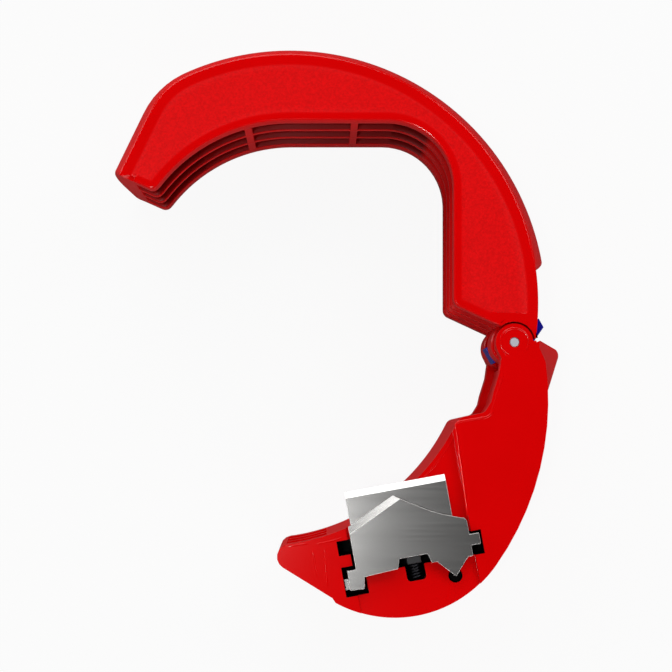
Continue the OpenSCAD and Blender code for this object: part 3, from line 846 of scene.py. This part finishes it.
    def place(self, row: Row, s: float, u: float, shrink: float) -> Vector:
        """Places one row at one cross-section.

        Args:
            row: the row.
            s: arc length on the inner path.
            u: arc length on the outer path.
            shrink: how far the section is drawn in, where it closes an end.

        Returns:
            The vertex in mm, with the hinge at the origin.
        """
        (p, n), (q, m) = self.inner.at(s), self.outer.at(u)
        narrow = min(1.0, self.narrow_share * (q - p).length) if s > self.tip_s else 1.0
        near = min(max((s - self.panel_s) / (self.relief_s - self.panel_s), 0.0), 1.0)
        narrow *= 1 - self.hinge_taper * near
        inner_rim, outer_rim = self.rim_inner + self.soft, self.rim_outer + self.soft
        mid = self.thick / 2
        panel_here = self.end_run < s < self.panel_s
        z = row.z if not row.panel or panel_here else (self.thick if row.z > mid else 0.0)
        rise = self.swell(u) * (1 - (z / mid - 1) ** 2)
        if row.side is Side.INNER:
            flat = self.inset(s, row.offset * narrow)
        elif row.side is Side.OUTER:
            flat = q + m * (rise - row.offset * narrow - shrink)
        elif row.side is Side.LIP:
            flat = p + n * min(row.offset, (self.floor(s, p, n) - p).length)
        elif row.side is Side.FLOOR:
            flat = self.floor(s, p, n)
        else:
            a, b = self.inset(s, inner_rim * narrow), q - m * (outer_rim * narrow + shrink)
            flat = a.lerp(b, row.offset)
            # Round the relief the rows stay clear of it, further out towards the neck.
            top_s = self.relief_s + self.ear_room * math.radians(self.relief_a - 90)
            clear = self.ear_room + 0.35 * inner_rim + 0.1 * max(0.0, top_s - s)
            if s > self.panel_s - 0.4 and flat.length < clear:
                flat = flat.normalized() * clear
        on_edge = row.side in (Side.INNER, Side.OUTER)
        if row.side is Side.BETWEEN or (on_edge and row.offset > 2 * self.edge):
            # The tip's end is straight, so no row lies nearer to it than the rim's width.
            away = (flat - self.tip_c).dot(self.end_normal)
            if s < 0.05:
                flat = flat - away * self.end_normal
            elif s < self.end_run:
                flat = flat + (0.75 * self.rim_inner - away) * self.end_normal
            else:
                # The rim's own rows may lie nearer. The slow growth keeps the rows apart.
                nearer = 0.0 if row.panel or not on_edge else 0.22
                least = self.rim_inner - nearer + 0.004 * s
                flat = flat + max(0.0, least - away) * self.end_normal
            if s > self.panel_s + 0.05 and flat.y < self.wall_end:
                flat.y = self.wall_end
        z = mid + (z - mid) * (1 - 0.6 * shrink / mid)
        return Vector((flat.x, flat.y, z))

    def build(self) -> bpy.types.Object:
        """Extrudes the cross-section from the tip to the hinge.

        Returns:
            The cradle as one closed piece.
        """
        rows, stations = self.rows(), self.stations()
        bm = bmesh.new()
        index = bm.verts.layers.int.new("row")
        panel = bm.verts.layers.float.new("panel")
        pocket = bm.verts.layers.float.new("pocket")
        shift = Vector((self.hinge.x, self.hinge.y, 0))
        dark_x = self.seat.x + self.dark_share * self.seat_r

        def settle(verts: Sequence[bmesh.types.BMVert], s: float, u: float, shrink: float) -> None:
            """Moves a ring of vertices to its cross-section.

            Args:
                verts: the ring.
                s: arc length on the inner path.
                u: arc length on the outer path.
                shrink: how far the section is drawn in.
            """
            # Painted shade: full on the deep pocket floors, less on the lips, little on grooves in
            # full light.
            edge, normal = self.inner.at(s)
            depth = (self.floor(s, edge, normal) - edge).length
            shade = 1.0 if edge.x < dark_x else self.wall_shade
            shade *= min(1.0, depth / self.dark_depth)
            for v in verts:
                row = rows[v[index]]
                v.co = (self.place(row, s, u, shrink) + shift) * MM
                v[panel] = 1.0 if row.panel and self.end_run < s < self.panel_s else 0.0
                share = {Side.FLOOR: 1.0, Side.LIP: self.lip_shade * (row.offset > self.lip_in)}
                v[pocket] = share.get(row.side, 0.0) * shade

        ring = [bm.verts.new((0, 0, 0)) for _ in rows]
        for i, v in enumerate(ring):
            v[index] = i
        end_shrink, next_shrink = self.end_shrinks
        settle(ring, *stations[0], end_shrink)
        edges = [bm.edges.new((a, b)) for a, b in zip(ring, ring[1:] + ring[:1])]
        bmesh.ops.contextual_create(bm, geom=edges)
        for i, (s, u) in enumerate(stations[1:], 1):
            verts, edges = grow(bm, edges)
            settle(verts, s, u, next_shrink if i == 1 else 0.0)
        bmesh.ops.contextual_create(bm, geom=edges)
        bmesh.ops.remove_doubles(bm, verts=bm.verts, dist=MERGE * MM)
        bmesh.ops.recalc_face_normals(bm, faces=bm.faces)
        # Faces inside the pockets that carry painted shade get the darker pocket material.
        for face in bm.faces:
            inside = all(rows[v[index]].side in (Side.FLOOR, Side.LIP) for v in face.verts)
            shaded = any(v[pocket] > self.least_shade for v in face.verts)
            face.material_index = int(inside and shaded)
        piece = finish_mesh(bm, "cradle", self.looks.red, self.sharp)
        piece.data.materials.append(self.looks.pocket)
        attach(piece, "upper")
        return piece

    def build_knuckle(self) -> bpy.types.Object:
        """Spins the two knuckles between the ears.

        Returns:
            The knuckles as one piece.
        """
        bm = bmesh.new()
        slot = (self.thick - self.gap) / 2
        centre, bore, flat, full = self.hinge, self.knuckle_bore, self.knuckle_flat, self.knuckle_r
        for low, high in ((self.ear, slot), (self.thick - slot, self.thick - self.ear)):
            profile = [(bore, low), (flat, low), (full, low + self.knuckle_edge),
                       (full, high - self.knuckle_edge), (flat, high), (bore, high)]
            verts = [bm.verts.new((centre.x + r, centre.y, z)) for r, z in profile]
            edges = [bm.edges.new(pair) for pair in zip(verts, verts[1:] + verts[:1])]
            bmesh.ops.spin(bm, geom=verts + edges, cent=(centre.x, centre.y, 0), axis=(0, 0, 1),
                           angle=2 * math.pi, steps=64, use_merge=True, use_duplicate=False)
        bmesh.ops.remove_doubles(bm, verts=bm.verts, dist=0.001)
        bmesh.ops.recalc_face_normals(bm, faces=bm.faces)
        bmesh.ops.scale(bm, vec=(MM, MM, MM), verts=bm.verts)
        piece = finish_mesh(bm, "knuckles", self.looks.red, self.sharp)
        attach(piece, "upper")
        return piece


def grow(bm: bmesh.types.BMesh, edges: list[bmesh.types.BMEdge]) -> tuple[list, list]:
    """Extrudes the last ring of edges once.

    Args:
        bm: the mesh.
        edges: the ring's edges.

    Returns:
        The new ring's vertices and its edges.
    """
    made = bmesh.ops.extrude_edge_only(bm, edges=edges)["geom"]
    verts = [g for g in made if isinstance(g, bmesh.types.BMVert)]
    fresh = set(verts)
    ring = [g for g in made if isinstance(g, bmesh.types.BMEdge) and set(g.verts) <= fresh]
    return verts, ring


def merged_copy(node: str) -> bmesh.types.BMesh:
    """Copies a CAD node's mesh and joins its loose triangles.

    Args:
        node: the node's name.

    Returns:
        The copy, in metres.
    """
    bm = bmesh.new()
    bm.from_mesh(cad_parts[node].data)
    bmesh.ops.remove_doubles(bm, verts=bm.verts, dist=MERGE * MM)
    return bm


def finish_mesh(bm: bmesh.types.BMesh, name: str, material: bpy.types.Material,
                sharp: float) -> bpy.types.Object:
    """Turns a finished bmesh into an object of the scene.

    Args:
        bm: the mesh, in metres.
        name: the piece's name.
        material: its finish.
        sharp: the angle in degrees above which an edge stays sharp.

    Returns:
        The new object.
    """
    mesh = bpy.data.meshes.new(name)
    bm.to_mesh(mesh)
    bm.free()
    for polygon in mesh.polygons:
        polygon.use_smooth = True
    mesh.set_sharp_from_angle(angle=math.radians(sharp))
    mesh.materials.append(material)
    piece = bpy.data.objects.new(name, mesh)
    bpy.context.scene.collection.objects.link(piece)
    return piece


@dataclass
class Machined:
    """A CAD node whose loose triangles are merged, with its edges broken by a small bevel.

    Args:
        node: the node's name.
        body: the body that it rides on.
        material: its finish.
        bevel: the width of the broken edges in mm.
        recesses: low and high X and Y of each recess whose faces are painted near-black as shade,
            in mm from the hinge.
        recess_shade: the near-black material painted on the recesses' faces as shade.
        honed_edge_highlight: the finish of the broken edges, where it differs; on the blades a
            paler steel that is partly a painted highlight.
        sharp: the angle in degrees above which an edge is broken.
        flat: the angle in degrees below which faces join.
        recess_shade_z: the lowest and highest face centre that gets the painted shade, in mm.
        recess_shade_reach: how far outside its recess a shaded face centre may lie, in mm.
    """

    node: str
    body: str
    material: bpy.types.Material
    bevel: float
    recesses: tuple[tuple[float, float, float, float], ...] = ()
    recess_shade: Optional[bpy.types.Material] = None
    honed_edge_highlight: Optional[bpy.types.Material] = None
    sharp: float = 28.0
    flat: float = 0.6
    recess_shade_z: Pair = (6.0, 20.9)
    recess_shade_reach: float = 0.8

    def paint_recess_shade(self, mesh: bpy.types.Mesh) -> None:
        """Paints the faces inside the recesses near-black, as shade.

        Args:
            mesh: the finished mesh, with its own material in the first slot.
        """
        mesh.materials.append(self.recess_shade)
        low, high = self.recess_shade_z
        reach = self.recess_shade_reach
        for face in mesh.polygons:
            x, y, z = face.center / MM
            x, y = x - HINGE[0], y - HINGE[1]
            if low < z < high and any(a - reach < x < c + reach and b - reach < y < d + reach
                                      for a, b, c, d in self.recesses):
                face.material_index = 1

    def build(self) -> bpy.types.Object:
        """Merges the node's mesh and breaks its edges.

        Returns:
            The finished piece, which replaces the node.
        """
        bm = merged_copy(self.node)
        bmesh.ops.dissolve_limit(bm, angle_limit=math.radians(self.flat), verts=bm.verts,
                                 edges=bm.edges)
        piece = finish_mesh(bm, self.node + "_finished", self.material, self.sharp)
        if self.recess_shade:
            self.paint_recess_shade(piece.data)
        cut = piece.modifiers.new("broken_edges", "BEVEL")
        cut.width = self.bevel * MM
        cut.segments = 2
        cut.limit_method = "ANGLE"
        cut.angle_limit = math.radians(self.sharp)
        cut.harden_normals = True
        # The blades' broken edges get the paler steel: partly their own finish, partly a painted
        # highlight.
        if self.honed_edge_highlight:
            piece.data.materials.append(self.honed_edge_highlight)
            cut.material = 1
        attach(piece, self.body)
        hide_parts(self.node)
        return piece


@dataclass
class CoilSpring:
    """A compression spring that shortens as its slide moves.

    Args:
        node: the node's name.
        body: the body that holds its fixed end.
        joint: the slide that presses it; not used.
        material: its finish.
        sharp: the angle in degrees above which an edge of the coil stays sharp.
    """

    node: str
    body: str
    joint: str
    material: bpy.types.Material
    sharp: float = 50.0

    def build(self) -> bpy.types.Object:
        """Merges the node's mesh and gives the piece a mesh of its own.

        Returns:
            The finished spring, which replaces the node.
        """
        piece = finish_mesh(merged_copy(self.node), self.node + "_coil", self.material, self.sharp)
        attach(piece, self.body)
        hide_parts(self.node)
        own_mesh(piece)
        return piece


@dataclass
class Beads:
    """Fine moulded beads along the edges of the lower arm's front face.

    Sizes in mm, places from the hinge.

    Args:
        looks: the finishes.
        width: width of a bead.
        height: height of a bead.
        face: height of the front face above the back.
        neck: the neck's places, then the corner between neck and shelf.
        shelf: the corner between shelf and step.
        step_foot: the lower end of the step.
        corner_rs: radii of those two corners.
        hollow: centre of the hollow edge.
        hollow_r: its radius.
        hollow_arc: its first and last angle in degrees.
        hollow_drop: how far its bead lies below the face.
        nose_lines: the short lines of the nose.
        nose_drop: how far they lie below the face.
        ring_r: radius of the ring round the pin.
        ring_arc: its first and last angle in degrees.
        sharp: the angle in degrees above which an edge stays sharp.
    """

    looks: Looks
    width: float = 0.42
    height: float = 0.08
    face: float = 22.0
    neck: tuple[Pair, ...] = ((-1.75, -4.8), (-2.2, -6.5), (-3.0, -9.1), (-3.75, -11.5))
    shelf: Pair = (-9.2, -12.4)
    step_foot: Pair = (-7.24, -26.8)
    corner_rs: Pair = (1.3, 0.8)
    hollow: Pair = (-39.847, 2.956)
    hollow_r: float = 35.3
    hollow_arc: Pair = (-27.5, -47.0)
    hollow_drop: float = 1.03
    nose_lines: tuple[tuple[Pair, ...], ...] = (
        ((-35.3, -31.75), (-33.6, -31.4), (-31.6, -31.15)),
        ((-31.0, -31.3), (-28.4, -30.8), (-26.2, -30.2)),
        ((-31.3, -31.8), (-30.5, -36.8)),
        ((-29.5, -31.6), (-28.95, -38.2)))
    nose_drop: float = 0.045
    ring_r: float = 2.17
    ring_arc: Pair = (-35.0, 250.0)
    sharp: float = 60.0

    def sweep(self, bm: bmesh.types.BMesh, points: Sequence[Vector], face: float) -> None:
        """Extrudes the bead's low arch along a line on the face, faded at both ends.

        Args:
            bm: the mesh that takes the bead.
            points: places along the line, from the hinge.
            face: height of the face above the back.
        """
        path = Path(list(points))
        # Places across the arch, in shares of its width, with their shares of its height.
        arch = [(-0.5, -0.4), (-0.28, 0.7), (0.0, 1.0), (0.28, 0.7), (0.5, -0.4)]
        least = 0.15
        edges: list[bmesh.types.BMEdge] = []
        for s in path.lengths:
            p, n = path.at(s)
            fade = min(1.0, least + s, least + path.length - s)
            spots = [p + n * across * self.width for across, _ in arch]
            ring = [Vector((HINGE[0] + v.x, HINGE[1] + v.y, face + up * self.height * fade)) * MM
                    for v, (_, up) in zip(spots, arch)]
            if edges:
                verts, edges = grow(bm, edges)
                for v, co in zip(verts, ring):
                    v.co = co
            else:
                verts = [bm.verts.new(v) for v in ring]
                edges = [bm.edges.new(pair) for pair in zip(verts, verts[1:])]

    def build(self) -> bpy.types.Object:
        """Sweeps all the beads.

        Returns:
            The beads as one piece.
        """
        bm = bmesh.new()
        neck = [Vector(p) for p in self.neck]
        shelf, foot = Vector(self.shelf), Vector(self.step_foot)
        run = neck[:-1] + rounded(neck[-2], neck[-1], shelf, self.corner_rs[0])
        run += rounded(neck[-1], shelf, foot, self.corner_rs[1]) + [foot]
        self.sweep(bm, dense(run), self.face)
        self.sweep(bm, arc(Vector(self.hollow), self.hollow_r, *self.hollow_arc),
                   self.face - self.hollow_drop)
        for nose_line in self.nose_lines:
            self.sweep(bm, dense([Vector(p) for p in nose_line]), self.face - self.nose_drop)
        self.sweep(bm, arc(Vector((0, 0)), self.ring_r, *self.ring_arc), self.face)
        bmesh.ops.recalc_face_normals(bm, faces=bm.faces)
        piece = finish_mesh(bm, "face_beads", self.looks.red, self.sharp)
        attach(piece, "lower")
        return piece


@dataclass(frozen=True)
class Lamp:
    """One soft, square lamp that faces the cutter.

    Args:
        name: the lamp's name.
        place: where it hangs, in mm.
        width: its width in mm.
        power: its power in watts.
    """

    name: str
    place: tuple[float, float, float]
    width: float
    power: float

    def hang(self) -> None:
        """Adds the lamp to the scene."""
        data = bpy.data.lights.new(self.name, "AREA")
        data.shape, data.size, data.energy = "SQUARE", self.width * MM, self.power
        lamp = bpy.data.objects.new(self.name, data)
        lamp.location = Vector(self.place) * MM
        lamp.rotation_euler = (-Vector(self.place)).to_track_quat("-Z", "Y").to_euler()
        bpy.context.scene.collection.objects.link(lamp)


@dataclass
class Studio:
    """Camera, plain pale floor and soft light. Sizes in mm.

    Args:
        camera: the camera's place.
        lens: its focal length.
        shift: its shift, which gives the photograph's framing.
        floor_grey: the floor's own grey, which lights the cutter from below.
        floor_white: share of plain white that the camera sees on the floor.
        floor_mirrored: how light the floor is in a mirror reflection.
        room: how light the surround is for the cutter.
        room_mirrored: how light it is in a mirror reflection.
        lamps: the lamps.
    """

    camera: tuple[float, float, float] = (-2.19, -17.55, 254.0)
    lens: float = 80.3
    shift: Pair = (0.0208, 0.1563)
    floor_grey: float = 0.55
    floor_white: float = 0.92
    floor_mirrored: float = 0.09
    room: float = 0.1
    room_mirrored: float = 0.02
    lamps: tuple[Lamp, ...] = (
        Lamp("key", (-110, 450, 330), 460, 2.1),
        Lamp("left", (-420, 190, 70), 220, 0.75),
        Lamp("fill", (330, 300, 380), 300, 1.0),
        Lamp("blade", (-66, -46, 420), 44, 0.36),
        Lamp("front", (-130, -420, 300), 260, 0.6),
        Lamp("right", (300, -400, 140), 260, 1.25))

    def build(self) -> None:
        """Sets up the camera, the floor, the world and the lamps."""
        scene = bpy.context.scene
        scene.view_settings.view_transform = "Standard"
        data = bpy.data.cameras.new("camera")
        data.lens, data.sensor_width = self.lens, 36.0
        data.shift_x, data.shift_y = self.shift
        data.clip_start, data.clip_end = 0.01, 10
        camera = bpy.data.objects.new("camera", data)
        camera.location = Vector(self.camera) * MM
        scene.collection.objects.link(camera)
        scene.camera = camera
        self.floor()
        self.world()
        for lamp in self.lamps:
            lamp.hang()

    def floor(self) -> None:
        """Lays the floor, white for the camera apart from a part of the shadow."""
        bm = bmesh.new()
        bmesh.ops.create_grid(bm, x_segments=1, y_segments=1, size=2.5)
        material = bpy.data.materials.new("pale_floor")
        material.use_nodes = True
        tree = material.node_tree
        shader = tree.nodes["Principled BSDF"]
        shader.inputs["Base Color"].default_value = (*[self.floor_grey] * 3, 1)
        shader.inputs["Roughness"].default_value = 0.9
        shader.inputs["Specular IOR Level"].default_value = 0.0
        seen = add_node(tree, "ShaderNodeLightPath")
        white = add_node(tree, "ShaderNodeEmission", {"Color": (1, 1, 1, 1), "Strength": 1.0})
        part = add_node(tree, "ShaderNodeMath", {
            0: seen.outputs["Is Camera Ray"], 1: self.floor_white}, operation="MULTIPLY")
        grey = add_node(tree, "ShaderNodeEmission", {
            "Color": (1, 1, 1, 1), "Strength": self.floor_mirrored})
        gloss = add_node(tree, "ShaderNodeMixShader", {
            "Fac": seen.outputs["Is Glossy Ray"], 1: shader.outputs["BSDF"],
            2: grey.outputs["Emission"]})
        mixed = add_node(tree, "ShaderNodeMixShader", {
            "Fac": part.outputs[0], 1: gloss.outputs["Shader"], 2: white.outputs["Emission"]})
        tree.links.new(mixed.outputs["Shader"], tree.nodes["Material Output"].inputs["Surface"])
        floor = finish_mesh(bm, "floor", material, 30)
        for v in floor.data.vertices:
            v.co.z = -0.05 * MM

    def world(self) -> None:
        """Lights everything softly and evenly from a pale surround."""
        world = bpy.data.worlds.new("studio")
        bpy.context.scene.world = world
        world.use_nodes = True
        tree = world.node_tree
        back = tree.nodes["Background"]
        seen = add_node(tree, "ShaderNodeLightPath")
        soft = add_node(tree, "ShaderNodeMapRange", {
            "Value": seen.outputs["Is Glossy Ray"], "To Min": self.room,
            "To Max": self.room_mirrored})
        level = add_node(tree, "ShaderNodeMapRange", {
            "Value": seen.outputs["Is Camera Ray"], "To Max": 1.0,
            "To Min": soft.outputs["Result"]})
        back.inputs["Color"].default_value = (1, 1, 1, 1)
        tree.links.new(level.outputs["Result"], back.inputs["Strength"])


# Low and high X and Y of the lower arm's recesses behind the pointed blade, from the hinge; their
# faces are painted near-black as shade.
RECESSES = ((-27.5, -33.0, -25.4, -30.6), (-27.1, -38.8, -24.7, -34.8), (-7.05, -33.0, -4.7, -28.9),
            (-18.0, -37.2, -13.0, -32.7), (-10.3, -36.6, -8.0, -35.0))


def main() -> None:
    """Builds the cutter piece by piece, then the studio."""
    looks = Looks()
    upper = UpperArm(looks)
    pieces = [upper.build(), upper.build_knuckle()]
    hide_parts("upper_arm")
    for part in (
            # The lower arm's recess faces get the near-black painted shade.
            Machined("lower_arm", "lower", looks.red, 0.22, RECESSES, looks.void),
            Machined("sleeve_blade", "blade", looks.blade, 0.11, honed_edge_highlight=looks.honed_edge_highlight),
            Machined("pipe_blade", "lower", looks.blade, 0.06, honed_edge_highlight=looks.honed_edge_highlight),
            Machined("lock_bar", "lock", looks.blue, 0.15),
            Machined("spring_plunger", "blade", looks.black, 0.08),
            CoilSpring("blade_spring", "lower", "blade_slide", looks.black_wire),
            CoilSpring("lock_spring", "upper", "lock_slide", looks.wire),
            Beads(looks)):
        pieces.append(part.build())
    for piece in pieces:
        log.info("%s: %d faces", piece.name, len(piece.data.polygons))
    for node, material in (("hinge_pin", looks.pin), ("opening_spring", looks.wire),
                           ("blade_dowels", looks.pin)):
        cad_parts[node].material_slots[0].material = material
    Studio().build()


if __name__ == "__main__":
    main()
